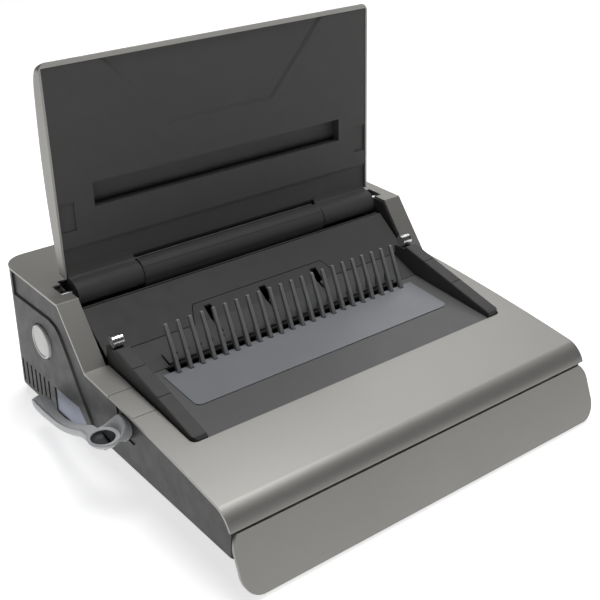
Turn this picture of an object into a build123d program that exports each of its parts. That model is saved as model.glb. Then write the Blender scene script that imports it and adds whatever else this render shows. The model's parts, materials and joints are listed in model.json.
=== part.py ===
from build123d import *
import math
import os

# Comb binding machine: punches a row of holes in a stack of sheets and opens a plastic comb over
# its tines. Millimetres. X is the width, the user stands at -Y, +Z is up. The lid is drawn open
# and the opening lever lies back on its stop.

# Frame: everything is drawn about the body's midplane, then moved so that the origin is under
# the middle of the whole machine, lever included.
SHIFT_X = 18.0

# Body outline, seen from the side
HALF_WIDTH = 230.0
BACK_Y = 225.0
DECK_Z = 157.5
UPPER_BEND = (94.7, 157.5)
LOWER_BEND = (47.5, 100.6)
APRON_MID = (-70.0, 92.3)
APRON_END = (-182.0, 79.8)
NOSE_MID = (-194.8, 72.0)
NOSE_END = (-201.0, 61.8)
COVER_T = 3.0
SIDE_X = 229.2
SIDE_T = 3.0
FIELD_RISE = 2.0
FRAME_X = SIDE_X - FIELD_RISE
CORNER_R = 24.0

# Working area between the rails
OPEN_X = 203.0
OPEN_BACK_X = 206.0
OPEN_FRONT_Y = -104.0
OPEN_BACK_Y = 141.0
TRAY_FRONT = (-103.4, 87.6)
TRAY_BACK = (14.0, 95.2)
DECK_FOOT = (14.6, 95.4)
RAMP_FOOT = (52.0, 108.0)
RAMP_TOP = (98.0, 141.2)

# Comb tines: 22 tines either side of 21 comb rings, 9/16 inch apart
PITCH = 14.2875
TINES = 22
HOLES = 21

# Lid hinge and lid plane
HINGE = (120.0, 150.0)
BARREL_R = 14.0
PIN_R = 4.0
RUN_GAP = 0.06
LID_HALF = 204.0
LID_FOOT = (125.0, 165.0)
LID_TOP = (134.0, 386.0)
LID_GAP_Z = 169.0

# Punch line and its drive
SLOT_Y = 100.5
PUNCH_Z = 62.0
CAM_Y = 150.0
CAM_LOW = 8.0
STROKE = 10.0
CAM_GAP = 0.4

# Lever, dial, drawers
LEVER = (-21.5, 74.0)
DIAL = (141.8, 94.3)
DIAL_R = 19.0


def save(piece, name):
    """Label a finished piece, move it to the machine's frame and write its STEP file."""
    piece.part.label = name
    placed = piece.part.moved(Location((SHIFT_X, 0, 0)))
    placed.label = name
    export_step(placed, f"parts/{name}.step")


def side_face(x, points):
    """A closed outline in Y and Z, standing at the given X."""
    with BuildSketch(Plane.YZ.offset(x)) as sketch:
        with BuildLine():
            Polyline(*points, close=True)
        make_face()
    return sketch.sketch


def plan_face(z, points):
    """A closed outline in X and Y, lying at the given Z."""
    with BuildSketch(Plane.XY.offset(z)) as sketch:
        with BuildLine():
            Polyline(*points, close=True)
        make_face()
    return sketch.sketch


def front_face(y, points):
    """A closed outline in X and Z, standing at the given Y; it extrudes towards -Y."""
    with BuildSketch(Plane.XZ.offset(-y)) as sketch:
        with BuildLine():
            Polyline(*points, close=True)
        make_face()
    return sketch.sketch


def body_section(x, depth, rear_y, floor):
    """The machine's side outline, set in by depth under the cover and closed by floor points."""
    with BuildSketch(Plane.YZ.offset(x)) as sketch:
        with BuildLine():
            upper = (UPPER_BEND[0] + 0.47 * depth, DECK_Z - depth)
            lower = (LOWER_BEND[0] + 0.5 * depth, LOWER_BEND[1] - depth)
            mid = (APRON_MID[0], APRON_MID[1] - depth)
            end = (APRON_END[0] + 0.5 * depth, APRON_END[1] - depth)
            nose = (NOSE_MID[0] + 0.75 * depth, NOSE_MID[1] - 0.7 * depth)
            tip = (NOSE_END[0] + depth, NOSE_END[1])
            Polyline((rear_y, DECK_Z - depth), upper, lower)
            ThreePointArc(lower, mid, end)
            ThreePointArc(end, nose, tip)
            Polyline(tip, *floor, (rear_y, DECK_Z - depth))
        make_face()
        bends = [v for v in sketch.vertices() if 45 < v.Y < 50 or 94 < v.Y < 98]
        bends = [v for v in bends if v.Z > 90]
        fillet(bends, radius=9)
    return sketch.sketch


def block(low, high, mode=Mode.ADD):
    """A box between two corners."""
    size = [b - a for a, b in zip(low, high)]
    middle = [(a + b) / 2 for a, b in zip(low, high)]
    with Locations(tuple(middle)):
        Box(*size, mode=mode)


def rod(radius, x0, x1, y, z, mode=Mode.ADD):
    """A round bar along X."""
    with Locations(Location(((x0 + x1) / 2, y, z), (0, 90, 0))):
        Cylinder(radius, x1 - x0, mode=mode)


def on_line(start, end, y, lift=0.0):
    """Height of a sloping line at y, lifted square to the horizontal."""
    return start[1] + (end[1] - start[1]) * (y - start[0]) / (end[0] - start[0]) + lift


def tray_z(y, lift=0.0):
    return on_line(TRAY_FRONT, TRAY_BACK, y, lift)


def deck_z(y, lift=0.0):
    return on_line(DECK_FOOT, RAMP_FOOT, y, lift)


def ramp_z(y, lift=0.0):
    return on_line(RAMP_FOOT, RAMP_TOP, y, lift)


def row(count, pitch=PITCH):
    """X places of a row centred on the midplane."""
    return [(i - (count - 1) / 2) * pitch for i in range(count)]


os.makedirs("parts", exist_ok=True)

# ---------------------------------------------------------------- lower housing
with BuildPart() as base_pan:
    front_out = [(-226, 31), (-226, 30), (-198, 5), (198, 5), (226, 30), (226, 31)]
    front_in = [(223, 31), (196.5, 8), (-196.5, 8), (-223, 31)]
    extrude(front_face(44, front_out + front_in), amount=240)
    rear_out = [(-226, 13), (-218, 5), (218, 5), (226, 13)]
    rear_in = [(222, 13), (217, 8), (-217, 8), (-222, 13)]
    extrude(front_face(200, rear_out + rear_in), amount=156)
    tail = [(-208, 5), (208, 5), (208, 8), (-208, 8)]
    extrude(front_face(220.8, tail), amount=21)
save(base_pan, "base_pan")

FOOT_SPOTS = [(-170, -150), (170, -150), (-185, 185), (185, 185)]
with BuildPart() as feet:
    for spot in FOOT_SPOTS:
        with Locations((spot[0], spot[1], 2.5)):
            Cylinder(10, 5)
    bottoms = feet.faces().filter_by(Axis.Z).group_by(Axis.Z)[0]
    chamfer(bottoms.edges(), 1.2)
save(feet, "feet")

SIDE_FLOOR = [(-196, 31.2), (44.3, 31.2), (62, 13.2), (201, 13.2)]
FIELD = [(215, 5), (215, 126.5), (119, 130), (106, 127), (98, 121), (82, 99), (66, 73),
          (42, 41), (36, 33), (60, 5)]
FIELD_SLOPE = 52.0
LEVER_POCKET = [(-7, 97), (-9, 81), (-27, 61.5), (-37, 60.5), (-47, 71), (-49, 97)]
WINDOW = [(125, 17), (125, 46.5), (70, 48.5), (54, 33), (54, 17)]
VENTS = [201.0 - 10.35 * i for i in range(7)]
BIN_GATE = [(49, 10), (49, 48), (127, 48), (127, 10)]


def side_panel(sign):
    """A side wall with its raised field and rounded rear corner; sign +1 is the right."""
    low = min(sign * FRAME_X, sign * (FRAME_X - SIDE_T))
    with BuildPart() as panel:
        extrude(side_face(sign * FRAME_X, [(y + 0.8, z + 0.8) for y, z in FIELD]),
                amount=FIELD_RISE, dir=(sign, 0, 0), taper=FIELD_SLOPE)
        block((-240, 201, -10), (240, 260, 160), Mode.SUBTRACT)
        block((-240, 0, -10), (240, 260, 13.2), Mode.SUBTRACT)
        extrude(body_section(low, COVER_T, 201.0, SIDE_FLOOR), amount=SIDE_T)
        with BuildSketch(Plane.XY.offset(13.2)):
            with Locations((sign * (SIDE_X - CORNER_R), 201)):
                Circle(CORNER_R)
                Circle(CORNER_R - SIDE_T - FIELD_RISE, mode=Mode.SUBTRACT)
            with Locations((sign * (SIDE_X - CORNER_R), 201)):
                Rectangle(60, 60, align=(Align.CENTER, Align.MAX), mode=Mode.SUBTRACT)
                Rectangle(60, 60, align=(Align.MAX if sign > 0 else Align.MIN, Align.CENTER),
                          mode=Mode.SUBTRACT)
        extrude(amount=DECK_Z - COVER_T - 13.2)
    return panel


left_side = side_panel(-1)
with left_side:
    for y in VENTS:
        block((-231, y - 1.8, 18), (-223, y + 1.8, 46.5), Mode.SUBTRACT)
    extrude(side_face(-231, WINDOW), amount=8, mode=Mode.SUBTRACT)
    rod(9.0, -231, -223, *DIAL, Mode.SUBTRACT)
    rod(DIAL_R + 1.2, -229.5, -226.6, *DIAL, Mode.SUBTRACT)
    extrude(side_face(-230, LEVER_POCKET), amount=4.2, mode=Mode.SUBTRACT)
    rod(12.5, -231, -223, *LEVER, Mode.SUBTRACT)
save(left_side, "left_side")

right_side = side_panel(1)
with right_side:
    extrude(side_face(223, BIN_GATE), amount=8, mode=Mode.SUBTRACT)
save(right_side, "right_side")

INLET = (-182.0, -152.0, 24.0, 48.0)
SWITCH = (-144.0, -122.0, 27.0, 45.0)
ROCKER_PIVOT = (217.0, 36.0)
SCREWS = [(-190.0, 24.0), (-190.0, 140.0), (190.0, 24.0), (190.0, 140.0)]
with BuildPart() as back_panel:
    block((-205.1, 221.2, 5.2), (205.1, 224.2, DECK_Z - COVER_T))
    for x0, x1, z0, z1 in (INLET, SWITCH):
        block((x0, 220, z0), (x1, 226, z1), Mode.SUBTRACT)
    for x, z in SCREWS:
        with Locations(Location((x, 222.7, z), (90, 0, 0))):
            Cylinder(1.7, 4, mode=Mode.SUBTRACT)
        with Locations(Location((x, 223.4, z), (90, 0, 0))):
            Cylinder(3.6, 2, mode=Mode.SUBTRACT)
save(back_panel, "back_panel")

with BuildPart() as case_screws:
    for x, z in SCREWS:
        with Locations(Location((x, 223.2, z), (90, 0, 0))):
            Cylinder(3.4, 1.5)
        with Locations(Location((x, 218.5, z), (90, 0, 0))):
            Cylinder(1.5, 8)
        block((x - 2.4, 223.4, z - 0.4), (x + 2.4, 224.2, z + 0.4), Mode.SUBTRACT)
        block((x - 0.4, 223.4, z - 2.4), (x + 0.4, 224.2, z + 2.4), Mode.SUBTRACT)
save(case_screws, "case_screws")

# ---------------------------------------------------------------- silver cover
OUTER_CLOSE = [(BACK_Y, NOSE_END[1])]
INNER_CLOSE = [(NOSE_END[0] + COVER_T, 50), (BACK_Y + 2, 50)]
SADDLE_Y = (-43.0, 1.5)

with BuildPart() as top_cover:
    extrude(body_section(-HALF_WIDTH, 0, BACK_Y, OUTER_CLOSE), amount=2 * HALF_WIDTH)
    extrude(body_section(-HALF_WIDTH - 1, COVER_T, BACK_Y + 2, INNER_CLOSE),
            amount=2 * HALF_WIDTH + 2, mode=Mode.SUBTRACT)
    with BuildSketch(Plane.XY.offset(50)) as plan:
        Rectangle(2 * HALF_WIDTH, 2 * BACK_Y)
        fillet(plan.vertices().group_by(Axis.Y)[-1], radius=CORNER_R + 0.8)
    extrude(amount=120, mode=Mode.INTERSECT)
    with BuildSketch(Plane.XY.offset(50)) as well:
        with Locations((0, OPEN_FRONT_Y)):
            Rectangle(2 * OPEN_X, 160, align=(Align.CENTER, Align.MIN))
        fillet(well.vertices().group_by(Axis.Y)[0], radius=7)
        with Locations((0, LOWER_BEND[0])):
            Rectangle(2 * OPEN_BACK_X, OPEN_BACK_Y - LOWER_BEND[0],
                      align=(Align.CENTER, Align.MIN))
        for sign in (-1, 1):
            with Locations((sign * 210.5, 122)):
                Rectangle(10, 22)
    extrude(amount=120, mode=Mode.SUBTRACT)
    block((-HALF_WIDTH - 1, SADDLE_Y[0], 50), (-OPEN_X + 1, SADDLE_Y[1], 150), Mode.SUBTRACT)
save(top_cover, "top_cover")

with BuildPart() as lever_saddle:
    extrude(body_section(-HALF_WIDTH, 0, BACK_Y, OUTER_CLOSE), amount=HALF_WIDTH - OPEN_X)
    extrude(body_section(-HALF_WIDTH - 1, COVER_T, BACK_Y + 2, INNER_CLOSE), amount=30,
            mode=Mode.SUBTRACT)
    block((-231, SADDLE_Y[0] + 0.7, 50), (-200, SADDLE_Y[1] - 0.7, 150), Mode.INTERSECT)
save(lever_saddle, "lever_saddle")


def cheek(sign):
    """An inner side wall under the rail, with a slot for the lid's hinge pin."""
    x0 = min(sign * 205.2, sign * 207.6)
    with BuildPart() as wall:
        floor = [(-198, 62), (66, 62), (66, 112), (141, 112)]
        extrude(body_section(x0, COVER_T, 141.0, floor), amount=2.4)
        block((-230, -210, 50), (230, OPEN_FRONT_Y, 170), Mode.SUBTRACT)
        rod(PIN_R + 0.4, -230, 230, *HINGE, Mode.SUBTRACT)
        block((-230, HINGE[0] - 4.4, HINGE[1]), (230, HINGE[0] + 4.4, 170), Mode.SUBTRACT)
    return wall


left_cheek = cheek(-1)
with left_cheek:
    rod(9.0, -210, -200, *LEVER, Mode.SUBTRACT)
save(left_cheek, "left_cheek")
right_cheek = cheek(1)
save(right_cheek, "right_cheek")

# ---------------------------------------------------------------- working area
with BuildPart() as work_tray:
    top = [TRAY_FRONT, TRAY_BACK]
    under = [(TRAY_BACK[0], TRAY_BACK[1] - 3), (TRAY_FRONT[0], TRAY_FRONT[1] - 3)]
    extrude(side_face(-185.4, top + under), amount=370.8)
    block((-158, -3, 80), (158, 20, 110), Mode.SUBTRACT)
save(work_tray, "work_tray")

REST_FRONT = -57.5
REST_BACK = 4.0
with BuildPart() as paper_rest:
    film = [(REST_FRONT, tray_z(REST_FRONT)), (REST_BACK, tray_z(REST_BACK)),
            (REST_BACK, tray_z(REST_BACK, 0.9)), (REST_FRONT, tray_z(REST_FRONT, 0.9))]
    extrude(side_face(-167, film), amount=334)
    corners = paper_rest.edges().filter_by(Axis.Z).group_by(Axis.Y)[0]
    fillet(corners, radius=7)
    for x in row(TINES):
        block((x - 2.6, -1.9, 85), (x + 2.6, 20, 110), Mode.SUBTRACT)
save(paper_rest, "paper_rest")

TINE_SIDE = [(-1.2, 88.0), (-0.9, 95.6), (19.8, 137.6), (21.4, 140.3), (22.8, 140.6),
             (24.2, 139.2), (4.6, 95.6), (4.4, 88.0)]
TINE_FOOT_W = 4.4
TINE_TIP_W = 3.7
with BuildPart() as tine_bar:
    extrude(side_face(-157.8, TINE_SIDE), amount=315.6)
    with BuildSketch(Plane.XZ.offset(-30)) as fronts:
        for x in row(TINES):
            with BuildLine():
                Polyline((x - TINE_FOOT_W / 2, 80), (x - TINE_FOOT_W / 2, 97),
                         (x - TINE_TIP_W / 2, 141), (x + TINE_TIP_W / 2, 141),
                         (x + TINE_FOOT_W / 2, 97), (x + TINE_FOOT_W / 2, 80), close=True)
            make_face()
    extrude(amount=40, mode=Mode.INTERSECT)
    bar = [(-2.8, 84.0), (13.8, 84.0), (13.8, 89.0), (5.2, 89.0), (5.2, tray_z(5.2)),
           (-2.8, tray_z(-2.8))]
    extrude(side_face(-157.8, bar), amount=315.6)
save(tine_bar, "tine_bar")

HOOK_SLOTS = (-72.0, 0.0, 72.0)
TONGUE = [(-97.0, 40.0), (-97.0, 52.0), (-90.0, 66.5), (-86.5, 70.4), (86.5, 70.4), (90.0, 66.5),
          (97.0, 52.0), (97.0, 40.0)]
with BuildPart() as comb_deck:
    deck = [DECK_FOOT, RAMP_FOOT, (70.4, ramp_z(70.4)), (70.4, ramp_z(70.4, -2.6)),
            (RAMP_FOOT[0] + 0.8, RAMP_FOOT[1] - 2.6), (DECK_FOOT[0], DECK_FOOT[1] - 2.6)]
    extrude(side_face(-185.4, deck), amount=370.8)
    for sign in (-1, 1):
        outside = [(sign * 190, 52.0), (sign * 97, 52.0), (sign * 90, 66.5),
                   (sign * 86.5, 70.4), (sign * 86.5, 75), (sign * 190, 75)]
        extrude(plan_face(80, outside), amount=60, mode=Mode.SUBTRACT)
    for x in HOOK_SLOTS:
        block((x - 4.2, 36.5, 80), (x + 4.2, 66, 130), Mode.SUBTRACT)
save(comb_deck, "comb_deck")

with BuildPart() as throat_cover:
    ramp = [(52.5, ramp_z(52.5)), RAMP_TOP, (RAMP_TOP[0], 68.0), (RAMP_TOP[0] - 2.5, 68.0),
            (RAMP_TOP[0] - 2.5, ramp_z(RAMP_TOP[0] - 2.5, -2.8)), (52.5, ramp_z(52.5, -2.8))]
    extrude(side_face(-202.6, ramp), amount=405.2)
    cut = [(x * 1.005, y + 0.5) for x, y in TONGUE]
    extrude(plan_face(80, cut), amount=60, mode=Mode.SUBTRACT)
save(throat_cover, "throat_cover")


ARM_PIN = (44.6, 126.4)
PIN_SEAT_R = 6.5


def arm(sign):
    """A side arm beside the tray, its top falling to the front, with a seat for its pin."""
    x0 = min(sign * 185.8, sign * 201.8)
    with BuildPart() as solid:
        outline = [(-103.4, 84.6), (-103.4, 90.0), (-101.2, 93.0), (-97.5, 94.6), (29.0, 123.4),
                   (33.0, 123.8), (35.0, 120.2), (51.8, 120.2), (51.8, 84.6)]
        extrude(side_face(x0, outline), amount=16.0)
        rims = [e for e in solid.edges() if e.length > 100 and e.center().Z > 100]
        fillet(rims, radius=1.8)
        with BuildSketch(Plane.XY.offset(80)) as plan:
            with Locations((sign * 193.8, -25.8)):
                Rectangle(16.0, 155.2)
            front = plan.vertices().group_by(Axis.Y)[0].sort_by(Axis.X)
            fillet(front[0 if sign < 0 else -1], radius=7.4)
        extrude(amount=60, mode=Mode.INTERSECT)
        rod(PIN_SEAT_R + 0.1, -230, 230, *ARM_PIN, Mode.SUBTRACT)
        for y in (1.5, -43.0):
            block((-230, y - 0.35, on_line((-97.5, 94.6), (29, 123.4), y, -1.0)),
                  (230, y + 0.35, 130), Mode.SUBTRACT)
    return solid


left_arm = arm(-1)
save(left_arm, "left_arm")
right_arm = arm(1)
save(right_arm, "right_arm")

with BuildPart() as arm_pins:
    for sign in (-1, 1):
        a = min(sign * 187.8, sign * 199.8)
        rod(PIN_SEAT_R, a, a + 12, *ARM_PIN)
        for groove in (2.2, 8.9):
            rod(PIN_SEAT_R + 0.1, a + groove, a + groove + 0.9, *ARM_PIN, Mode.SUBTRACT)
            rod(PIN_SEAT_R - 0.6, a + groove - 0.2, a + groove + 1.1, *ARM_PIN)
save(arm_pins, "arm_pins")

# ---------------------------------------------------------------- lid hinge
with BuildPart() as hinge_trough:
    channel = [(103.0, 68.0), (105.5, 68.0), (105.5, 130.0), (140.9, 130.0), (140.9, 154.4),
               (138.6, 154.4), (138.6, 132.5), (105.5, 132.5), (105.5, 139.4), (103.0, 139.4)]
    extrude(side_face(-202.6, channel), amount=405.2)
    block((-203, 102, 92), (-168, 106, 116), Mode.SUBTRACT)
save(hinge_trough, "hinge_trough")

with BuildPart() as hinge_barrel:
    rod(BARREL_R, -121.5, 121.5, *HINGE)
    shroud = [(128.0, 132.5), (128.0, 161.0), (122.5, 165.2), (115.0, 164.6), (110.4, 161.0),
              (107.6, 155.0), (106.6, 147.0), (107.4, 139.0), (110.0, 132.5)]
    extrude(side_face(-121.5, shroud), amount=243.0)
    for sign in (-1, 1):
        a = min(sign * 111.0, sign * 122.0)
        rod(PIN_R + 0.02, a, a + 11, *HINGE, Mode.SUBTRACT)
save(hinge_barrel, "hinge_barrel")

with BuildPart() as hinge_brackets:
    for sign in (-1, 1):
        a = min(sign * 207.6, sign * 215.2)
        block((a, 111.2, 132.0), (a + 7.6, 132.8, 154.2))
    rod(PIN_R + 0.02, -230, 230, *HINGE, Mode.SUBTRACT)
    block((-230, HINGE[0] - PIN_R - 0.02, HINGE[1]), (230, HINGE[0] + PIN_R + 0.02, 170),
          Mode.SUBTRACT)
save(hinge_brackets, "hinge_brackets")

with BuildPart() as lid_pins:
    for sign in (-1, 1):
        a = min(sign * 190.0, sign * 215.0)
        rod(PIN_R, a, a + 25, *HINGE)
        b = min(sign * 112.0, sign * 132.0)
        rod(PIN_R, b, b + 20, *HINGE)
save(lid_pins, "lid_pins")

# ---------------------------------------------------------------- lid
LID_PLANE = Plane(origin=(0, *LID_FOOT), x_dir=(1, 0, 0),
                  z_dir=(0, -(LID_TOP[1] - LID_FOOT[1]), LID_TOP[0] - LID_FOOT[0]))
BACK_CURVE = [(136.0, 165.5), (142.0, 200.0), (146.5, 240.0), (149.5, 300.0), (148.5, 350.0),
              (143.5, 377.0), (135.0, 386.3)]

with BuildPart() as lid_shell:
    with BuildSketch(Plane.YZ.offset(-LID_HALF)):
        with BuildLine():
            Spline(*BACK_CURVE)
            Polyline(BACK_CURVE[-1], LID_TOP, (LID_FOOT[0], 165.5), BACK_CURVE[0])
        make_face()
    extrude(amount=2 * LID_HALF)
    inner = [(y - 2.5, z) for y, z in BACK_CURVE[:5]] + [(141.0, 375.5), (137.7, 381.0)]
    with BuildSketch(Plane.YZ.offset(-201.6)):
        with BuildLine():
            Spline(*inner)
            Polyline(inner[-1], (120.0, 381.0), (110.0, 160.0), (inner[0][0], 160.0), inner[0])
        make_face()
    extrude(amount=403.2, mode=Mode.SUBTRACT)
    with BuildSketch(Plane.XZ.offset(-160)) as outline:
        with Locations((0, 160)):
            Rectangle(2 * LID_HALF, 226.3, align=(Align.CENTER, Align.MIN))
        fillet(outline.vertices().group_by(Axis.Z)[-1], radius=9)
    extrude(amount=60, mode=Mode.INTERSECT)
save(lid_shell, "lid_shell")

with BuildPart() as lid_panel:
    with BuildSketch(LID_PLANE.offset(-0.6)):
        with Locations((0, 0.3)):
            Rectangle(402.8, 215.4, align=(Align.CENTER, Align.MIN))
    extrude(amount=-2.6)
    chamfer(lid_panel.faces().sort_by(Axis.Y)[0].edges(), 1.2)
    # pocket that clears the tine tips when the lid is shut
    with BuildSketch(LID_PLANE.offset(-0.6)):
        with Locations((0, 81.5)):
            Rectangle(325.6, 29.6)
    extrude(amount=-13.6)
    with BuildSketch(LID_PLANE.offset(-0.6)):
        with Locations((0, 81.5)):
            Rectangle(322, 26)
    extrude(amount=-12.6, mode=Mode.SUBTRACT)
    # sunk trapezoid at the top edge
    with BuildSketch(LID_PLANE.offset(-0.6)):
        with BuildLine():
            Polyline((-148.5, 226), (-66, 136.5), (66, 136.5), (148.5, 226), close=True)
        make_face()
    extrude(amount=-1.8, taper=66, mode=Mode.SUBTRACT)
    # small sunk fields that face the arm pins
    with BuildSketch(LID_PLANE.offset(-0.6)):
        with Locations((-191.8, 64.5), (191.8, 64.5)):
            Rectangle(16, 31)
    extrude(amount=-1.5, mode=Mode.SUBTRACT)
    # lower strip, sunk behind the main face with a sloping step
    with BuildSketch(LID_PLANE.offset(-0.6)):
        with Locations((0, 0.3)):
            Rectangle(402.8, 38.0, align=(Align.CENTER, Align.MIN))
    extrude(amount=-5.0)
    with BuildSketch(LID_PLANE.offset(-0.6)):
        with Locations((0, -5)):
            Rectangle(420, 37.0, align=(Align.CENTER, Align.MIN))
    extrude(amount=-2.4, taper=60, mode=Mode.SUBTRACT)
    flange = [(128.3, 165.5), (133.3, 165.5), (133.3, 172.0), (128.6, 172.0)]
    extrude(side_face(-201.2, flange), amount=402.4)
    web = [(119.0, 163.9), (122.8, 164.4), (125.6, 166.2), (127.4, 169.4), (128.4, 174.5),
           (132.6, 174.5), (132.6, 165.8), (124.0, 152.0)]
    for sign in (-1, 1):
        a = min(sign * 122.5, sign * 199.5)
        rod(BARREL_R, a, a + 77, *HINGE)
        extrude(side_face(a, web), amount=77.0)
        b = min(sign * 122.0, sign * 133.0)
        rod(PIN_R + RUN_GAP, b, b + 11, *HINGE, Mode.SUBTRACT)
        c = min(sign * 189.0, sign * 200.0)
        rod(PIN_R + RUN_GAP, c, c + 11, *HINGE, Mode.SUBTRACT)
    # the strip stops short of the fixed centre cover
    block((-122.3, 100, 150), (122.3, 130.2, LID_GAP_Z), Mode.SUBTRACT)
save(lid_panel, "lid_panel")

# ---------------------------------------------------------------- punch
HOLE_W = 8.0
HOLE_H = 3.0
with BuildPart() as die_plate:
    block((-162, 88.0, 50.0), (162, 98.0, 67.8))
    for x in row(HOLES):
        block((x - HOLE_W / 2, 86, PUNCH_Z - HOLE_H / 2), (x + HOLE_W / 2, 100, PUNCH_Z + HOLE_H / 2),
              Mode.SUBTRACT)
save(die_plate, "die_plate")

with BuildPart() as punch_guide:
    block((-162, 103.0, 50.0), (162, 113.0, 67.8))
    for x in row(HOLES):
        block((x - HOLE_W / 2, 100, PUNCH_Z - HOLE_H / 2),
              (x + HOLE_W / 2, 115, PUNCH_Z + HOLE_H / 2), Mode.SUBTRACT)
save(punch_guide, "punch_guide")

with BuildPart() as throat_floor:
    block((-162, 88.0, 46.5), (162, 113.0, 49.9))
save(throat_floor, "throat_floor")

with BuildPart() as throat_frames:
    gate = [(43.0, 8.0), (48.0, 8.0), (48.0, 46.5), (128.5, 46.5), (128.5, 8.0), (134.0, 8.0),
            (134.0, 60.0), (113.0, 68.0), (88.0, 68.0), (43.0, 60.0)]
    for sign in (-1, 1):
        a = min(sign * 162.1, sign * 170.0)
        extrude(side_face(a, gate), amount=7.9)
    block((-180, 98.0, 50.0), (180, 103.0, 95.0), Mode.SUBTRACT)
save(throat_frames, "throat_frames")

BEAM_Y = CAM_Y - CAM_LOW
with BuildPart() as punch_beam:
    block((-150, BEAM_Y - 10, PUNCH_Z - 8), (150, BEAM_Y, PUNCH_Z + 8))
    for x in row(HOLES):
        block((x - 3.9, 104.2, PUNCH_Z - 1.4), (x + 3.9, BEAM_Y - 9, PUNCH_Z + 1.4))
save(punch_beam, "punch_beam")


def cam_points(steps=26):
    """Outline of a cam that lifts a flat follower evenly with its turn, nose towards +Y."""
    rise = STROKE / math.pi
    half = []
    for i in range(steps + 1):
        turn = i * math.radians(169.0) / steps
        lift = CAM_LOW - CAM_GAP + rise * turn
        along = lift * math.cos(turn) - rise * math.sin(turn)
        across = lift * math.sin(turn) + rise * math.cos(turn)
        half.append((-along, -across))
    upper = [(y, -z) for y, z in reversed(half)]
    return [(CAM_Y + y, PUNCH_Z + z) for y, z in half + upper]


with BuildPart() as camshaft:
    rod(5.0, -166, 194, CAM_Y, PUNCH_Z)
    for x in (-112, 0, 112):
        extrude(side_face(x - 4, cam_points()), amount=8)
save(camshaft, "camshaft")

with BuildPart() as bearing_blocks:
    for x in (-166, 154):
        block((x, CAM_Y - 12, 8.0), (x + 8, CAM_Y + 12, PUNCH_Z + 12))
    rod(5.05, -200, 200, CAM_Y, PUNCH_Z, Mode.SUBTRACT)
save(bearing_blocks, "bearing_blocks")

with BuildPart() as gearbox:
    block((172, 128, 8.0), (198, 213.5, 90))
    fillet(gearbox.edges().filter_by(Axis.X), radius=8)
    rod(5.05, 160, 195, CAM_Y, PUNCH_Z, Mode.SUBTRACT)
save(gearbox, "gearbox")

MOTOR = (193.0, 62.0)
MOTOR_R = 22.0
with BuildPart() as motor:
    rod(MOTOR_R, 82, 172, *MOTOR)
    fillet(motor.edges().filter_by(GeomType.CIRCLE).group_by(Axis.X)[0], radius=3)
    rod(8.0, 76, 83, *MOTOR)
save(motor, "motor")

with BuildPart() as motor_bracket:
    block((88, 169, 8.0), (94, 217, 62))
    rod(MOTOR_R + 0.1, 80, 100, *MOTOR, Mode.SUBTRACT)
    block((88, 169, 8.0), (116, 217, 11.0))
save(motor_bracket, "motor_bracket")

with BuildPart() as control_board:
    block((-120, 196, 20.0), (30, 197.6, 100.0))
    block((-110, 189, 30), (-78, 196, 62))
    block((-70, 184, 34), (-46, 196, 58))
    for x in (-30, -14, 2):
        with Locations(Location((x, 187, 42), (90, 0, 0))):
            Cylinder(6, 18)
    block((-100, 192, 74), (-60, 196, 88))
    for x in (-116, 26):
        block((x - 3, 190, 8.0), (x + 3, 196, 26))
save(control_board, "control_board")

with BuildPart() as power_inlet:
    x0, x1, z0, z1 = INLET
    block((x0 + 0.2, 208.4, z0 + 0.2), (x1 - 0.2, 224.6, z1 - 0.2))
    block((x0 + 4, 212, z0 + 4), (x1 - 4, 226, z1 - 4), Mode.SUBTRACT)
    for dx, dz in ((-6, -2.5), (0, 3.0), (6, -2.5)):
        px, pz = (x0 + x1) / 2 + dx, (z0 + z1) / 2 + dz
        block((px - 1.0, 209, pz - 2.0), (px + 1.0, 216.5, pz + 2.0))
save(power_inlet, "power_inlet")

with BuildPart() as switch_frame:
    x0, x1, z0, z1 = SWITCH
    block((x0 + 0.2, 209.0, z0 + 0.2), (x1 - 0.2, 224.6, z1 - 0.2))
    block((x0 + 2.2, 210.5, z0 + 1.6), (x1 - 2.2, 226, z1 - 1.6), Mode.SUBTRACT)
    rod(1.45, x0 + 0.9, x1 - 0.9, *ROCKER_PIVOT, Mode.SUBTRACT)
save(switch_frame, "switch_frame")

with BuildPart() as power_rocker:
    rocker = [(224.0, 30.6), (222.4, 36.0), (225.0, 41.4), (218.5, 41.4), (214.0, 38.0),
              (214.0, 34.0), (218.5, 30.6)]
    extrude(side_face(SWITCH[0] + 2.8, rocker), amount=16.4)
    rod(1.4, SWITCH[0] + 1.0, SWITCH[1] - 1.0, *ROCKER_PIVOT)
save(power_rocker, "power_rocker")

# ---------------------------------------------------------------- edge guide and dial
with BuildPart() as guide_dial:
    rod(DIAL_R, -232.0, -227.9, *DIAL)
    rims = guide_dial.edges().filter_by(GeomType.CIRCLE).group_by(Axis.X)[0]
    fillet(rims, radius=2.0)
    rod(8.6, -228, -224.5, *DIAL)
    rod(4.0, -225, -172, *DIAL)
save(guide_dial, "guide_dial")

with BuildPart() as dial_bearings:
    block((-224.1, DIAL[0] - 12, DIAL[1] - 12), (-216, DIAL[0] + 12, DIAL[1] + 12))
    block((-178, DIAL[0] - 9, 8.0), (-172, DIAL[0] + 9, DIAL[1] + 9))
    rod(4.05, -230, -140, *DIAL, Mode.SUBTRACT)
save(dial_bearings, "dial_bearings")

with BuildPart() as edge_guide:
    block((-202, DIAL[0] - 9, DIAL[1] - 9), (-192, DIAL[0] + 9, DIAL[1] + 9))
    block((-202, 108, 98), (-192, DIAL[0] - 8, 103.2))
    block((-202, 100, 98), (-182, 112, 103.2))
    block((-192, 99.3, 72), (-152, 101.7, 136))
    block((-176, 99.3, 135), (-164, 101.7, 141.6))
    rod(4.05, -210, -180, *DIAL, Mode.SUBTRACT)
save(edge_guide, "edge_guide")

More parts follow.
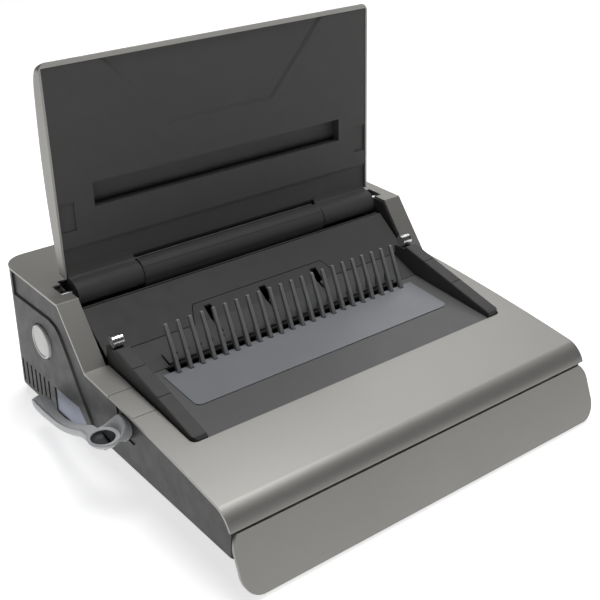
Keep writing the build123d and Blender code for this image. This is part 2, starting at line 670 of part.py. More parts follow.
# ---------------------------------------------------------------- comb opener
LEVER_CUP = (-252.5, -25.0)
CUP_RIM = (-250.8, -24.0)
CUP_R = 16.2
HOLLOW_R = 11.5
CUP_TOP = 74.7
BOSS_R = 13.4
with BuildPart() as comb_lever:
    side = [(-25, 73.8), (-8, 73.4), (3, 71.8), (16, 65.6), (30, 58.8), (43, 53.2), (57, 48.8),
            (70, 45.2), (84, 42.6), (96, 41.6), (108, 41.2), (124, 40.2), (131, 38.0),
            (134, 34.0), (131, 29.0), (108, 30.2), (84, 33.6), (57, 39.9), (30, 50.2),
            (3, 62.7), (-25, 67.4)]
    extrude(side_face(-267, side), amount=32)
    plan = [(-248.0, -25), (-247.5, 30), (-247.8, 57), (-246.2, 72), (-244.0, 88),
            (-242.0, 97), (-239.8, 105), (-238.0, 112), (-238.0, 128), (-240.5, 134), (-251.0, 134),
            (-253.5, 128), (-255.0, 108), (-256.0, 84), (-258.0, 57), (-260.0, 30),
            (-262.0, 3), (-265.0, -25)]
    extrude(plan_face(20, plan), amount=60, mode=Mode.INTERSECT)
    with Locations((*CUP_RIM, CUP_TOP - 1.6)):
        Cylinder(CUP_R, 3.2)
    with Locations((*CUP_RIM, CUP_TOP - 5.7)):
        Cone(CUP_R - 4.0, CUP_R, 5.0)
    with Locations(Location((-240, *LEVER), (0, 90, 0))):
        Cone(7.0, BOSS_R, 12.0)
    rod(BOSS_R, -234, -228.2, *LEVER)
    with Locations((*LEVER_CUP, CUP_TOP)):
        Cylinder(HOLLOW_R, 10.4, mode=Mode.SUBTRACT)
    with Locations((*LEVER_CUP, CUP_TOP + 10)):
        Cylinder(HOLLOW_R + 2.5, 20.0, mode=Mode.SUBTRACT)
    rod(11.5, -228.5, -225.4, *LEVER)
    rod(8.0, -228, -196, *LEVER)
    for i in range(5):
        block((-252.5, 108.0 + 4.2 * i, 38.8), (-239.5, 110.2 + 4.2 * i, 44.0), Mode.SUBTRACT)
save(comb_lever, "comb_lever")

with BuildPart() as lever_bearing:
    block((-222.0, LEVER[0] - 14, 62.0), (-207.7, LEVER[0] + 14, LEVER[1] + 11))
    rod(8.06, -230, -200, *LEVER, Mode.SUBTRACT)
save(lever_bearing, "lever_bearing")

HOOK_GAP = 0.4
with BuildPart() as hook_bar:
    plate = [(15.6, deck_z(15.6, HOOK_GAP)), (30.0, deck_z(30.0, HOOK_GAP)),
             (30.0, deck_z(30.0, HOOK_GAP + 2.4)), (15.6, deck_z(15.6, HOOK_GAP + 2.4))]
    extrude(side_face(-152, plate), amount=304)
    hook = [(15.8, 97.0), (19.2, 99.0), (21.4, 107.0), (20.6, 109.4), (15.5, 108.2),
            (15.5, 106.4), (18.0, 106.4)]
    for x in row(HOLES):
        extrude(side_face(x - 1.5, hook), amount=3.0)
    tongue = [(29.0, deck_z(29.0, HOOK_GAP)), (48.0, deck_z(48.0, HOOK_GAP)),
              (48.0, deck_z(48.0, HOOK_GAP + 2.4)), (29.0, deck_z(29.0, HOOK_GAP + 2.4))]
    leg = [(38.0, deck_z(38.0) - 9), (46.0, deck_z(46.0) - 9), (46.0, deck_z(46.0, 1)),
           (38.0, deck_z(38.0, 1))]
    for x in HOOK_SLOTS:
        extrude(side_face(x - 3.4, tongue), amount=6.8)
        extrude(side_face(x - 3.4, leg), amount=6.8)
save(hook_bar, "hook_bar")

# ---------------------------------------------------------------- drawers
FRONT_HALF = 231.0
with BuildPart() as drawer_front:
    skin = [(-201.6, 59.4), (-225.0, 4.0), (-220.6, 4.0), (-198.8, 59.4)]
    extrude(side_face(-FRONT_HALF, skin), amount=2 * FRONT_HALF)
    with BuildSketch(Plane.XZ.offset(190)) as shape:
        with Locations((0, 4)):
            Rectangle(2 * FRONT_HALF, 60, align=(Align.CENTER, Align.MIN))
        fillet(shape.vertices().group_by(Axis.Z)[0], radius=20)
    extrude(amount=50, mode=Mode.INTERSECT)
    for x in (-130, 0, 130):
        rib = [(-198.0, 52.0), (-203.0, 52.0), (-218.0, 12.0), (-198.0, 12.0)]
        extrude(side_face(x - 2, rib), amount=4)
save(drawer_front, "drawer_front")

TRAY_X = 188.0
with BuildPart() as drawer_tray:
    block((-TRAY_X, -198.0, 11.0), (TRAY_X, 40.0, 54.0))
    block((-TRAY_X + 2.4, -195.6, 13.4), (TRAY_X - 2.4, 37.6, 60.0), Mode.SUBTRACT)
save(drawer_tray, "drawer_tray")

with BuildPart() as drawer_runners:
    for sign in (-1, 1):
        a = min(sign * 176.0, sign * 186.0)
        block((a, -190, 8.0), (a + 10, 42, 10.7))
save(drawer_runners, "drawer_runners")

with BuildPart() as chip_bin:
    block((-214, 51.0, 15.0), (222, 126.0, 45.0))
    block((-212, 53.0, 17.0), (220, 124.0, 50.0), Mode.SUBTRACT)
save(chip_bin, "chip_bin")

with BuildPart() as bin_front:
    block((226.4, 49.5, 13.6), (SIDE_X, 126.5, 47.5))
    block((222, 56, 20), (227, 62, 40))
    block((222, 115, 20), (227, 121, 40))
    block((228.0, 74, 26), (231, 102, 38), Mode.SUBTRACT)
save(bin_front, "bin_front")

with BuildPart() as bin_runners:
    for y in (62, 112):
        block((-212, y, 8.0), (212, y + 6, 14.8))
save(bin_runners, "bin_runners")

with BuildPart() as chip_window:
    glass = [(124.6, 17.4), (124.6, 46.2), (70.1, 48.1), (54.4, 32.9), (54.4, 17.4)]
    extrude(side_face(-228.0, glass), amount=1.8)
save(chip_window, "chip_window")
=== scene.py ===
import json
import math

import bmesh
import bpy
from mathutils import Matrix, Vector


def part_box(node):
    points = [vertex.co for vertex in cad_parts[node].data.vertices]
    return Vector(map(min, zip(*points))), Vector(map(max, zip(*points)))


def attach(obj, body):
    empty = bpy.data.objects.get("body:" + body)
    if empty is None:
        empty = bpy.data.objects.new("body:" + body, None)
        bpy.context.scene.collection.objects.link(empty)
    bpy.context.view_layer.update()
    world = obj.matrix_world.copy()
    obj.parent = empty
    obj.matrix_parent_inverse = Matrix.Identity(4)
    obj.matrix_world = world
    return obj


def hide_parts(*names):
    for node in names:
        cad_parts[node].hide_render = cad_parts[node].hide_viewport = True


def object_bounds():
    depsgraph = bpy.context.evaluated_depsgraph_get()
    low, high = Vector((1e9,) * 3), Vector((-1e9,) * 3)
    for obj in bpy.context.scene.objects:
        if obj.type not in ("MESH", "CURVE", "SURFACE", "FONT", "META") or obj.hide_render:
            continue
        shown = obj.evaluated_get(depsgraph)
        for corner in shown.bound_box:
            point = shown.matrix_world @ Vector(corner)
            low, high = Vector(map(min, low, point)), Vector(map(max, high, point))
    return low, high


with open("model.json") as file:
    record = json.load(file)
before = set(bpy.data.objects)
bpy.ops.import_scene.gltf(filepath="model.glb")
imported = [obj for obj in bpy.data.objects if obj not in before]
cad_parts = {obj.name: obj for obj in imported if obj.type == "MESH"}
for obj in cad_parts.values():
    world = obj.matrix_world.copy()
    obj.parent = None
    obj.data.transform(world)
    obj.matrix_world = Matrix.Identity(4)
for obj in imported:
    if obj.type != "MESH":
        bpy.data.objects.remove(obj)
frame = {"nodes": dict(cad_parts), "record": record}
CAD_LOW, CAD_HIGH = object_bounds()
NODES = frame["nodes"]
SLOT_OF = {s["node"]: s["material_slot"] for s in frame["record"]["subparts"]}
scene = bpy.context.scene

cover_low, cover_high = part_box("top_cover")
MID_X = (cover_low.x + cover_high.x) / 2  # the body's own midplane, beside the origin


def at(x, y, z):
    """A point given in millimetres about the body's midplane, as metres in the row frame."""
    return Vector((MID_X + x / 1000, y / 1000, z / 1000))


# ---------------------------------------------------------------- material helpers
class Tree:
    """A small wrapper that makes node trees short to write."""

    def __init__(self, name):
        self.mat = bpy.data.materials.new(name)
        self.mat.use_nodes = True
        self.nodes = self.mat.node_tree.nodes
        self.links = self.mat.node_tree.links
        self.nodes.clear()
        self.out = self.nodes.new("ShaderNodeOutputMaterial")
        self.bsdf = self.nodes.new("ShaderNodeBsdfPrincipled")
        self.links.new(self.bsdf.outputs[0], self.out.inputs[0])
        self.coord = self.nodes.new("ShaderNodeTexCoord").outputs["Object"]

    def add(self, kind, **values):
        node = self.nodes.new(kind)
        for key, value in values.items():
            setattr(node, key, value)
        return node

    def noise(self, scale, detail=3.0, rough=0.5, stretch=None):
        node = self.add("ShaderNodeTexNoise")
        node.inputs["Scale"].default_value = scale
        node.inputs["Detail"].default_value = detail
        node.inputs["Roughness"].default_value = rough
        source = self.coord
        if stretch:
            mapping = self.add("ShaderNodeMapping")
            mapping.inputs["Scale"].default_value = stretch
            self.links.new(self.coord, mapping.inputs["Vector"])
            source = mapping.outputs[0]
        self.links.new(source, node.inputs["Vector"])
        return node.outputs["Fac"]

    def remap(self, source, low, high, from_low=0.3, from_high=0.7):
        node = self.add("ShaderNodeMapRange")
        node.inputs["From Min"].default_value = from_low
        node.inputs["From Max"].default_value = from_high
        node.inputs["To Min"].default_value = low
        node.inputs["To Max"].default_value = high
        self.links.new(source, node.inputs["Value"])
        return node.outputs[0]

    def blend(self, source, first, second):
        node = self.add("ShaderNodeMix", data_type="RGBA")
        self.links.new(source, node.inputs[0])
        for socket, value in ((node.inputs[6], first), (node.inputs[7], second)):
            if isinstance(value, bpy.types.NodeSocket):
                self.links.new(value, socket)
            else:
                socket.default_value = (*value, 1)
        return node.outputs[2]

    def bump(self, source, strength, distance):
        node = self.add("ShaderNodeBump")
        node.inputs["Strength"].default_value = strength
        node.inputs["Distance"].default_value = distance
        self.links.new(source, node.inputs["Height"])
        self.links.new(node.outputs[0], self.bsdf.inputs["Normal"])

    def put(self, socket, value):
        if isinstance(value, bpy.types.NodeSocket):
            self.links.new(value, self.bsdf.inputs[socket])
        else:
            self.bsdf.inputs[socket].default_value = value


def shade(colour, factor):
    """A colour made lighter or darker, no brighter than white."""
    return tuple(min(1.0, c * factor) for c in colour)


GRAIN_DEPTH = 0.00006


def plastic(name, colour, rough=0.5, grain=1500.0, strength=0.25, spread=0.05, level=0.5):
    """Moulded plastic: a fine spark-eroded grain, faint cloudiness and uneven gloss."""
    t = Tree(name)
    cloud = t.noise(22.0, 4.0)
    fine = t.noise(grain, 2.0)
    body = t.blend(t.remap(cloud, 0, 1), shade(colour, 1 - spread), shade(colour, 1 + spread))
    speck = t.blend(t.remap(fine, 0, 1), body, shade(colour, 1 + 2 * spread))
    t.put("Base Color", speck)
    t.put("Roughness", t.remap(t.noise(70.0, 3.0), rough - 0.05, rough + 0.07))
    t.put("Specular IOR Level", level)
    t.bump(fine, strength, GRAIN_DEPTH)
    return t.mat


def metallic_paint(name, colour, rough=0.36, metal=0.55):
    """Silver paint: flakes that vary the gloss, over a smooth moulded surface."""
    t = Tree(name)
    flake = t.noise(2600.0, 1.0)
    cloud = t.noise(9.0, 3.0)
    base = t.blend(t.remap(cloud, 0, 1), shade(colour, 0.97), shade(colour, 1.03))
    t.put("Base Color", t.blend(t.remap(flake, 0, 0.35), base, shade(colour, 1.25)))
    t.put("Metallic", metal)
    t.put("Roughness", t.remap(flake, rough - 0.05, rough + 0.06))
    t.put("Coat Weight", 0.12)
    t.put("Coat Roughness", 0.3)
    t.bump(flake, 0.10, 0.00003)
    return t.mat


STREAKS = (20, 900, 900)


def brushed(name, colour, rough=0.3):
    """Steel drawn along X, with fine streaks."""
    t = Tree(name)
    streak = t.noise(1.0, 3.0, 0.6, STREAKS)
    t.put("Base Color", t.blend(t.remap(streak, 0, 1), shade(colour, 0.82), shade(colour, 1.1)))
    t.put("Metallic", 1.0)
    t.put("Roughness", t.remap(streak, rough - 0.08, rough + 0.12))
    t.bump(streak, 0.2, 0.00004)
    return t.mat


def chrome(name):
    """Bright plating, smeared a little by handling."""
    t = Tree(name)
    smear = t.noise(160.0, 3.0)
    t.put("Base Color", t.blend(t.remap(smear, 0, 1), (0.80, 0.80, 0.81), (0.88, 0.88, 0.88)))
    t.put("Metallic", 1.0)
    t.put("Roughness", t.remap(smear, 0.22, 0.32))
    return t.mat


def cast(name, colour):
    """Die-cast metal with fine pits."""
    t = Tree(name)
    pits = t.noise(700.0, 5.0, 0.7)
    t.put("Base Color", t.blend(t.remap(pits, 0, 1), shade(colour, 0.75), shade(colour, 1.1)))
    t.put("Metallic", 0.9)
    t.put("Roughness", t.remap(pits, 0.45, 0.65))
    t.bump(pits, 0.5, 0.0002)
    return t.mat


def board(name):
    """Green solder mask with a lattice of tracks."""
    t = Tree(name)
    tracks = t.add("ShaderNodeTexVoronoi", feature="DISTANCE_TO_EDGE", distance="CHEBYCHEV")
    tracks.inputs["Scale"].default_value = 160.0
    t.links.new(t.coord, tracks.inputs["Vector"])
    line = t.remap(tracks.outputs["Distance"], 1, 0, 0.02, 0.05)
    t.put("Base Color", t.blend(line, (0.015, 0.10, 0.045), (0.05, 0.22, 0.10)))
    t.put("Roughness", t.remap(t.noise(90.0), 0.3, 0.45))
    t.bump(line, 0.3, 0.00005)
    return t.mat


def window(name, colour):
    """Lavender plastic, lightly see-through, with a soft haze."""
    t = Tree(name)
    haze = t.noise(45.0, 3.0)
    t.put("Base Color", t.blend(t.remap(haze, 0, 1), shade(colour, 0.95), shade(colour, 1.05)))
    t.put("Roughness", t.remap(haze, 0.30, 0.42))
    t.put("Transmission Weight", 0.12)
    t.put("Coat Weight", 0.2)
    t.put("Coat Roughness", 0.2)
    t.bump(t.noise(900.0), 0.08, 0.00003)
    return t.mat


MATERIALS = {
    "silver_shell": metallic_paint("silver_shell", (0.385, 0.377, 0.360), 0.47, 0.68),
    "dark_housing": plastic("dark_housing", (0.036, 0.037, 0.035), 0.45, spread=0.03),
    "graphite_plastic": plastic("graphite_plastic", (0.084, 0.084, 0.083), 0.60, level=0.28,
                                spread=0.03),
    "tray_plastic": plastic("tray_plastic", (0.120, 0.121, 0.122), 0.45, spread=0.03),
    "tine_plastic": plastic("tine_plastic", (0.24, 0.243, 0.246), 0.42, strength=0.12),
    "rest_film": plastic("rest_film", (0.24, 0.25, 0.27), 0.36, strength=0.10, spread=0.03),
    "lever_plastic": plastic("lever_plastic", (0.54, 0.555, 0.57), 0.45, strength=0.12,
                             spread=0.03),
    "dial_plastic": plastic("dial_plastic", (0.74, 0.74, 0.73), 0.32, strength=0.08, spread=0.02),
    "window_plastic": window("window_plastic", (0.27, 0.30, 0.42)),
    "chrome": chrome("chrome"),
    "steel": brushed("steel", (0.42, 0.42, 0.42)),
    "gear_housing": cast("gear_housing", (0.38, 0.38, 0.38)),
    "rubber": plastic("rubber", (0.018, 0.018, 0.018), 0.78, grain=900, strength=0.5),
    "board": board("board"),
    "black_plastic": plastic("black_plastic", (0.012, 0.012, 0.013), 0.45, level=0.3),
}
# painted shade: a darker plastic for the floor of the lever cup's hollow, standing in for the
# shadow in the dish
CUP_SHADE_PAINT = plastic("cup_painted_shade", (0.050, 0.052, 0.055), 0.45, level=0.3)

for node_name, node in NODES.items():
    for material_slot in node.material_slots:
        material_slot.material = MATERIALS[SLOT_OF[node_name]]


# ---------------------------------------------------------------- softened edges on CAD pieces
WELD_DISTANCE = 0.00002
EDGE_SEGMENTS = 2
SHARPEST_KEPT = math.radians(32)


def soften(name, width):
    """Rounds a CAD piece's sharp edges, as a mould does."""
    node = NODES[name]
    weld = node.modifiers.new("weld", "WELD")
    weld.merge_threshold = WELD_DISTANCE
    edge = node.modifiers.new("edges", "BEVEL")
    edge.width = width
    edge.segments = EDGE_SEGMENTS
    edge.limit_method = "ANGLE"
    edge.angle_limit = SHARPEST_KEPT
    edge.miter_outer = "MITER_ARC"
    node.modifiers.new("normals", "WEIGHTED_NORMAL").keep_sharp = True


SOFT = {
    "top_cover": 0.0013, "lever_saddle": 0.0008, "drawer_front": 0.0009, "left_side": 0.0006,
    "right_side": 0.0006, "back_panel": 0.0005, "base_pan": 0.0006, "left_arm": 0.0006,
    "right_arm": 0.0006, "left_cheek": 0.0004, "right_cheek": 0.0004, "work_tray": 0.0005,
    "paper_rest": 0.0003, "tine_bar": 0.0006, "comb_deck": 0.0004, "throat_cover": 0.0005,
    "hinge_trough": 0.0005, "hinge_barrel": 0.0007, "hinge_brackets": 0.0004,
    "lid_shell": 0.0006, "lid_panel": 0.0006, "hook_bar": 0.0004, "chip_window": 0.0004,
    "power_inlet": 0.0004, "switch_frame": 0.0005, "power_rocker": 0.0005,
    "drawer_tray": 0.0005, "bin_front": 0.0006, "chip_bin": 0.0005, "edge_guide": 0.0004,
}
for node_name, width in SOFT.items():
    soften(node_name, width)


# ---------------------------------------------------------------- mesh helpers
def to_object(name, bm, slot, body, smooth=40):
    """Finishes a mesh: outward normals, smooth shading, its material, and what it rides on."""
    bmesh.ops.remove_doubles(bm, verts=bm.verts, dist=1e-6)
    bmesh.ops.recalc_face_normals(bm, faces=bm.faces)
    mesh = bpy.data.meshes.new(name)
    bm.to_mesh(mesh)
    bm.free()
    mesh.materials.append(MATERIALS[slot])
    obj = bpy.data.objects.new(name, mesh)
    scene.collection.objects.link(obj)
    for polygon in mesh.polygons:
        polygon.use_smooth = True
    mesh.set_sharp_from_angle(angle=math.radians(smooth))
    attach(obj, body)
    return obj


def loft(bm, rings):
    """A closed skin through rings of points that have equal counts."""
    made = [[bm.verts.new(p) for p in ring] for ring in rings]
    count = len(made[0])
    for a, b in zip(made, made[1:]):
        for i in range(count):
            j = (i + 1) % count
            bm.faces.new((a[i], a[j], b[j], b[i]))
    bm.faces.new(made[0])
    bm.faces.new(list(reversed(made[-1])))


ROUND = 96


def angles(steps):
    """Even angles once round a circle."""
    return [2 * math.pi * i / steps for i in range(steps)]


def lathe(bm, centre, axis, profile):
    """Turns a profile of (radius, distance along axis) about an axis, 'X' or 'Z'."""
    rings = []
    for radius, along in profile:
        ring = []
        for a in angles(ROUND):
            u, v = radius * math.cos(a), radius * math.sin(a)
            offset = Vector((along, u, v)) if axis == "X" else Vector((u, v, along))
            ring.append(centre + offset)
        rings.append(ring)
    made = [[bm.verts.new(p) for p in ring] if profile[k][0] > 1e-7 else [bm.verts.new(ring[0])]
            for k, ring in enumerate(rings)]
    for a, b in zip(made, made[1:]):
        for i in range(ROUND):
            j = (i + 1) % ROUND
            face = [a[i % len(a)], a[j % len(a)], b[j % len(b)], b[i % len(b)]]
            kept = []
            for v in face:
                if v not in kept:
                    kept.append(v)
            if len(kept) > 2:
                bm.faces.new(kept)


def track(points, x):
    """Smooth value at x along a list of (x, value) pairs, Catmull-Rom."""
    if x <= points[0][0]:
        return points[0][1]
    for i in range(len(points) - 1):
        x0, x1 = points[i][0], points[i + 1][0]
        if x <= x1:
            t = (x - x0) / (x1 - x0)
            before = points[max(i - 1, 0)]
            after = points[min(i + 2, len(points) - 1)]
            m0 = (points[i + 1][1] - before[1]) / max(x1 - before[0], 1e-9) * (x1 - x0)
            m1 = (after[1] - points[i][1]) / max(after[0] - x0, 1e-9) * (x1 - x0)
            a, b = points[i][1], points[i + 1][1]
            return ((2 * t**3 - 3 * t**2 + 1) * a + (t**3 - 2 * t**2 + t) * m0
                    + (-2 * t**3 + 3 * t**2) * b + (t**3 - t**2) * m1)
    return points[-1][1]


# ---------------------------------------------------------------- comb lever
LEVER_TOP = [(-20, 73.4), (-8, 73.0), (3, 71.4), (16, 65.4), (30, 58.8), (43, 53.4), (57, 48.8),
             (70, 45.2), (84, 42.6), (96, 41.0), (108, 40.0), (126, 38.6), (134, 37.4)]
LEVER_BOTTOM = [(-20, 67.4), (-8, 66.0), (3, 62.7), (30, 50.2), (57, 39.9), (84, 33.6),
                (108, 30.2), (124, 28.8), (134, 30.0)]
LEVER_INNER = [(-20, -247.5), (0, -247.4), (30, -247.5), (57, -247.8), (72, -246.2),
               (88, -244.0), (97, -242.0), (105, -239.9), (112, -238.5), (128, -238.2),
               (134, -240.0)]
LEVER_OUTER = [(-20, -264.0), (3, -262), (30, -260), (57, -258), (84, -256), (108, -255),
               (128, -253.6), (134, -252.4)]
# one section, from the outer side (u 0) to the inner side (u 1), bottom (v 0) to top (v 1)
LEVER_SECTION = [(0.06, 0.0), (0.015, 0.03), (0.0, 0.12), (0.0, 0.80), (0.015, 0.87),
                 (0.05, 0.89), (0.09, 0.885), (0.105, 0.78), (0.135, 0.78), (0.15, 0.88),
                 (0.20, 0.94), (0.32, 0.98), (0.5, 1.0), (0.75, 1.0), (0.90, 0.98),
                 (0.975, 0.92), (1.0, 0.80), (1.0, 0.15), (0.98, 0.04), (0.92, 0.0)]


ARM_START, ARM_STEP, ARM_SECTIONS = -11.6, 2.1, 68
ARM_TIP = [131.2, 132.8, 133.7, 134.0]
PAD_START, PAD_FULL_AFTER = 100, 9
PAD_END, PAD_FADE = 134.6, 3
PAD_RISE = 1.6
RIB_START, RIB_MIDDLE, RIB_END = 107, 118, 130
RIB_HEIGHT, RIB_RATE = 0.28, 1.5
TIP_START, TIP_LENGTH = 130.5, 3.5
TIP_SHRINK = 0.25


def clamp(value):
    return max(0.0, min(1.0, value))


def arm_section(y):
    """The lever arm's outline at y: a beaded bar that swells into a ribbed thumb pad."""
    inner, outer = track(LEVER_INNER, y), track(LEVER_OUTER, y)
    low, high = track(LEVER_BOTTOM, y), track(LEVER_TOP, y)
    pad = clamp((y - PAD_START) / PAD_FULL_AFTER) * clamp((PAD_END - y) / PAD_FADE)
    pad = pad * pad * (3 - 2 * pad)
    rib = RIB_HEIGHT * math.sin((y - RIB_MIDDLE) * RIB_RATE) if RIB_START < y < RIB_END else 0.0
    end = max(0.0, (y - TIP_START) / TIP_LENGTH)
    shrink = 1 - TIP_SHRINK * end * end
    middle = (low + high) / 2
    ring = []
    for u, v in LEVER_SECTION:
        z = low + (high - low) * v
        if v > 0.85:
            swell = math.sin(math.pi * clamp((u - 0.12) / 0.88)) ** 0.6
            z += (PAD_RISE * swell + rib * (0.3 < u < 0.92)) * pad
        z = middle + (z - middle) * shrink
        ring.append(at(outer + (inner - outer) * u, y, z))
    return ring


def build_arm():
    bm = bmesh.new()
    stations = [ARM_START + i * ARM_STEP for i in range(ARM_SECTIONS)] + ARM_TIP
    loft(bm, [arm_section(y) for y in stations])
    arm = to_object("lever_arm", bm, "lever_plastic", "lever", 32)
    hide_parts("comb_lever")


# the hollow root: a dished ring whose hollow sits nearer the tip than the ring itself
HOLLOW, RIM = at(-252.5, -25, 0), at(-250.8, -24, 0)
CUP_RINGS = [(HOLLOW, 0.0100, 0.0688), (HOLLOW, 0.0108, 0.0700), (HOLLOW, 0.0114, 0.0722),
             (HOLLOW, 0.0117, 0.0738), (HOLLOW, 0.0122, 0.0746), (RIM, 0.0150, 0.0747),
             (RIM, 0.0159, 0.0743), (RIM, 0.0162, 0.0734), (RIM, 0.0161, 0.0722),
             (RIM, 0.0154, 0.0705), (RIM, 0.0136, 0.0684), (RIM, 0.0110, 0.0671),
             (RIM, 0.0080, 0.0667)]


def build_cup():
    bm = bmesh.new()
    loft(bm, [[centre + Vector((r * math.cos(a), r * math.sin(a), z)) for a in angles(ROUND)]
              for centre, r, z in CUP_RINGS])
    to_object("lever_cup", bm, "lever_plastic", "lever", 50)


# painted shade: a thin dark disc laid in the cup's hollow, where there is only shadow, not a
# separate dark part
def build_cup_painted_shade():
    bm = bmesh.new()
    lathe(bm, HOLLOW, "Z", [(0, 0.0695), (0.004, 0.0696), (0.0075, 0.0700), (0.0098, 0.0710),
                            (0.0110, 0.0724), (0.0117, 0.0738), (0.0118, 0.0730),
                            (0.0110, 0.0702), (0.009, 0.0690), (0, 0.0690)])
    shaded_disc = to_object("lever_cup_painted_shade", bm, "lever_plastic", "lever", 50)
    shaded_disc.data.materials[0] = CUP_SHADE_PAINT


HUB = at(0, -21.5, 74)
BOSS_R = 0.0134
BOSS_FACE = 0.2300  # from the body's midplane
FAIRING_R = 0.0155
FAIRING_REACH = 0.96  # how near to the ring's edge the fairing starts
FAIRING_TOP = 0.0744
FAIRING_DROP = 0.0045
FAIRING_RINGS = 14
FAIRING_ROUND = 72


def fairing_ring(step):
    """A ring between the cup's inner side (step 0) and the round boss at the wall (step 1)."""
    ring = []
    for a in angles(FAIRING_ROUND):
        u, w = math.cos(a), math.sin(a)
        start_x = RIM.x + FAIRING_R * math.sqrt(max(0.0, 1 - u * u)) * FAIRING_REACH
        start_z = FAIRING_TOP if w >= 0 else FAIRING_TOP + FAIRING_DROP * w
        start = Vector((start_x, RIM.y + FAIRING_R * u, start_z))
        end = Vector((MID_X - BOSS_FACE, HUB.y + BOSS_R * u, HUB.z + BOSS_R * w))
        point = start.lerp(end, step)
        point.z = start.z + (end.z - start.z) * math.sin(step * math.pi / 2)
        ring.append(point)
    return ring


def build_boss():
    bm = bmesh.new()
    loft(bm, [fairing_ring(k / FAIRING_RINGS) for k in range(FAIRING_RINGS + 1)])
    to_object("lever_boss", bm, "lever_plastic", "lever", 60)


def build_shaft():
    bm = bmesh.new()
    lathe(bm, HUB, "X", [(0, -0.2305), (BOSS_R, -0.2305), (BOSS_R, -0.2290), (0.0130, -0.2282),
                         (0.0115, -0.2282), (0.0115, -0.2256), (0.0080, -0.2254),
                         (0.0080, -0.1965), (0.0074, -0.1960), (0, -0.1960)])
    to_object("lever_shaft", bm, "lever_plastic", "lever", 40)


build_arm()
build_cup()
build_cup_painted_shade()
build_boss()
build_shaft()


# ---------------------------------------------------------------- edge dial
def build_dial():
    """A round dial with a shallow groove inside its rim, and its stepped shaft."""
    low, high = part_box("guide_dial")
    centre = Vector((0, (low.y + high.y) / 2, (low.z + high.z) / 2))
    x = low.x
    bm = bmesh.new()
    lathe(bm, centre, "X", [(0, x + 0.0004), (0.010, x + 0.0006), (0.0156, x + 0.0009),
                            (0.0160, x + 0.0013), (0.0164, x + 0.0009), (0.0166, x + 0.0003),
                            (0.0171, x), (0.0180, x + 0.0001), (0.0187, x + 0.0006),
                            (0.0190, x + 0.0015), (0.0190, x + 0.0041), (0.0086, x + 0.0041),
                            (0.0086, x + 0.0075), (0.0040, x + 0.0075), (0.0040, high.x),
                            (0, high.x)])
    dial = to_object("dial_face", bm, "dial_plastic", "dial", 40)
    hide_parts("guide_dial")


build_dial()


# ---------------------------------------------------------------- lips behind the hinge
LIP_TURN = 0.4


def build_lip(name, body, half, front, back, seat, edge):
    """A thin graphite lip along X, in millimetres, with its free edge softened."""
    shoulder = edge + math.copysign(LIP_TURN, seat - edge)
    section = [(front, seat), (back, seat), (back, shoulder), (back - LIP_TURN, edge),
               (front + LIP_TURN, edge), (front, shoulder)]
    bm = bmesh.new()
    loft(bm, [[at(x, y, z) for y, z in section] for x in (-half, half)])
    to_object(name, bm, "graphite_plastic", body)


build_lip("trough_lip", "base", 202.2, 138.6, 140.9, 154.4, 157.3)
build_lip("lid_lip", "lid", 201.0, 130.8, 133.3, 165.5, 162.8)


# ---------------------------------------------------------------- floor
FLOOR_SIZE = 9.0
FLOOR_DROP = 0.0002
FLOOR_GLOW = 0.70


def build_floor():
    bm = bmesh.new()
    bmesh.ops.create_grid(bm, x_segments=8, y_segments=8, size=FLOOR_SIZE)
    mesh = bpy.data.meshes.new("floor")
    bm.to_mesh(mesh)
    bm.free()
    floor = bpy.data.objects.new("floor", mesh)
    scene.collection.objects.link(floor)
    floor.location.z = CAD_LOW.z - FLOOR_DROP
    t = Tree("pale_floor")
    mottle = t.remap(t.noise(3.0), 0, 1)
    t.put("Base Color", t.blend(mottle, (0.86, 0.86, 0.86), (0.90, 0.90, 0.90)))
    t.put("Roughness", 0.9)
    t.put("Specular IOR Level", 0.1)
    t.put("Emission Color", (1.0, 1.0, 1.0, 1.0))
    t.put("Emission Strength", FLOOR_GLOW)
    mesh.materials.append(t.mat)


build_floor()


# ---------------------------------------------------------------- studio
ROOM_BASE, ROOM_WALL, ROOM_BACK = 0.66, 0.88, 0.90
LEFT_SIDE = 0.50  # brightness of the room's left side, against 1 on the right

world = bpy.data.worlds.new("studio")
scene.world = world
world.use_nodes = True
sky = world.node_tree


def sky_node(kind, **values):
    node = sky.nodes.new(kind)
    for key, value in values.items():
        setattr(node, key, value)
    return node


def ramp(source, from_low, from_high, low, high):
    """A smooth step of the studio's brightness along one direction."""
    node = sky_node("ShaderNodeMapRange", interpolation_type="SMOOTHSTEP")
    for key, value in (("From Min", from_low), ("From Max", from_high), ("To Min", low),
                       ("To Max", high)):
        node.inputs[key].default_value = value
    sky.links.new(source, node.inputs["Value"])
    return node.outputs[0]


def combine(first, second, operation):
    """The sum or product of a socket and a second socket or number."""
    node = sky_node("ShaderNodeMath", operation=operation)
    sky.links.new(first, node.inputs[0])
    if isinstance(second, bpy.types.NodeSocket):
        sky.links.new(second, node.inputs[1])
    else:
        node.inputs[1].default_value = second
    return node.outputs[0]


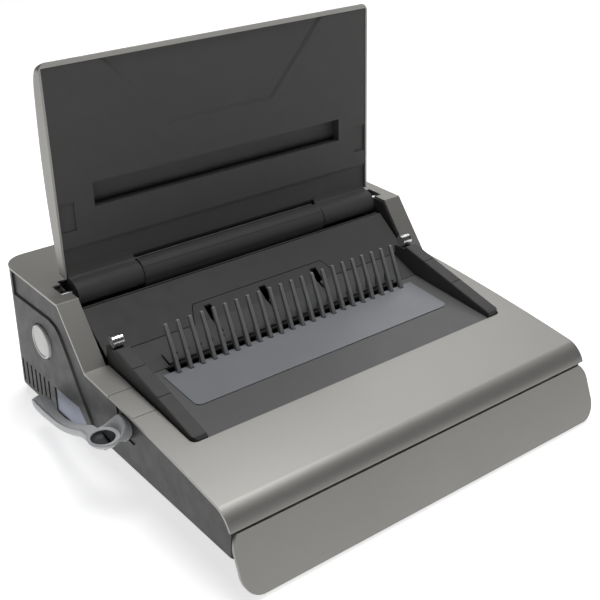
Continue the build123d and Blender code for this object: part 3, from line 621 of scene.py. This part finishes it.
def build_room():
    """A pale wall low down all round, a bright upper back, and a dimmer left side."""
    axes = sky_node("ShaderNodeSeparateXYZ")
    sky.links.new(sky_node("ShaderNodeTexCoord").outputs["Generated"], axes.inputs[0])
    across, depth, height = axes.outputs
    wall = ramp(height, 0.14, 0.46, ROOM_WALL, 0.0)
    behind = ramp(depth, -0.25, 0.45, 0.0, 1.0)
    above = ramp(height, 0.44, 0.66, 0.0, ROOM_BACK)
    right = ramp(across, -0.75, 0.15, LEFT_SIDE, 1.0)
    glow = combine(combine(behind, above, "MULTIPLY"), wall, "ADD")
    light = combine(combine(glow, ROOM_BASE, "ADD"), right, "MULTIPLY")
    sky.links.new(light, sky.nodes["Background"].inputs[1])


LAMP_TARGET = Vector((0, 0, 0.1))


def area(name, place, size, power):
    """A rectangular lamp that points at the machine."""
    data = bpy.data.lights.new(name, "AREA")
    data.shape = "RECTANGLE"
    data.size, data.size_y = size
    data.energy = power
    lamp = bpy.data.objects.new(name, data)
    scene.collection.objects.link(lamp)
    lamp.location = place
    lamp.rotation_mode = "QUATERNION"
    lamp.rotation_quaternion = (LAMP_TARGET - Vector(place)).to_track_quat("-Z", "Y")


build_room()
area("back", (1.5, 1.1, 1.6), (1.8, 1.3), 9)
area("top", (0.3, 0.15, 2.15), (1.7, 1.2), 30)


# ---------------------------------------------------------------- camera
CAMERA_PLACE = (-0.6147, -0.8072, 0.6674)
CAMERA_AZIMUTH, CAMERA_ELEVATION = math.radians(-38.05), math.radians(27.77)
CAMERA_LENS, CAMERA_SENSOR = 65.8, 36.0


def build_camera():
    data = bpy.data.cameras.new("camera")
    camera = bpy.data.objects.new("camera", data)
    scene.collection.objects.link(camera)
    data.sensor_width = CAMERA_SENSOR
    data.lens = CAMERA_LENS
    data.shift_x = 0.004
    data.shift_y = 0.0003
    data.clip_start = 0.01
    data.clip_end = 50.0
    camera.location = CAMERA_PLACE
    level = math.cos(CAMERA_ELEVATION)
    forward = Vector((-math.sin(CAMERA_AZIMUTH) * level, math.cos(CAMERA_AZIMUTH) * level,
                      -math.sin(CAMERA_ELEVATION)))
    camera.rotation_mode = "QUATERNION"
    camera.rotation_quaternion = forward.to_track_quat("-Z", "Y")
    scene.camera = camera


build_camera()
scene.view_settings.view_transform = "Standard"
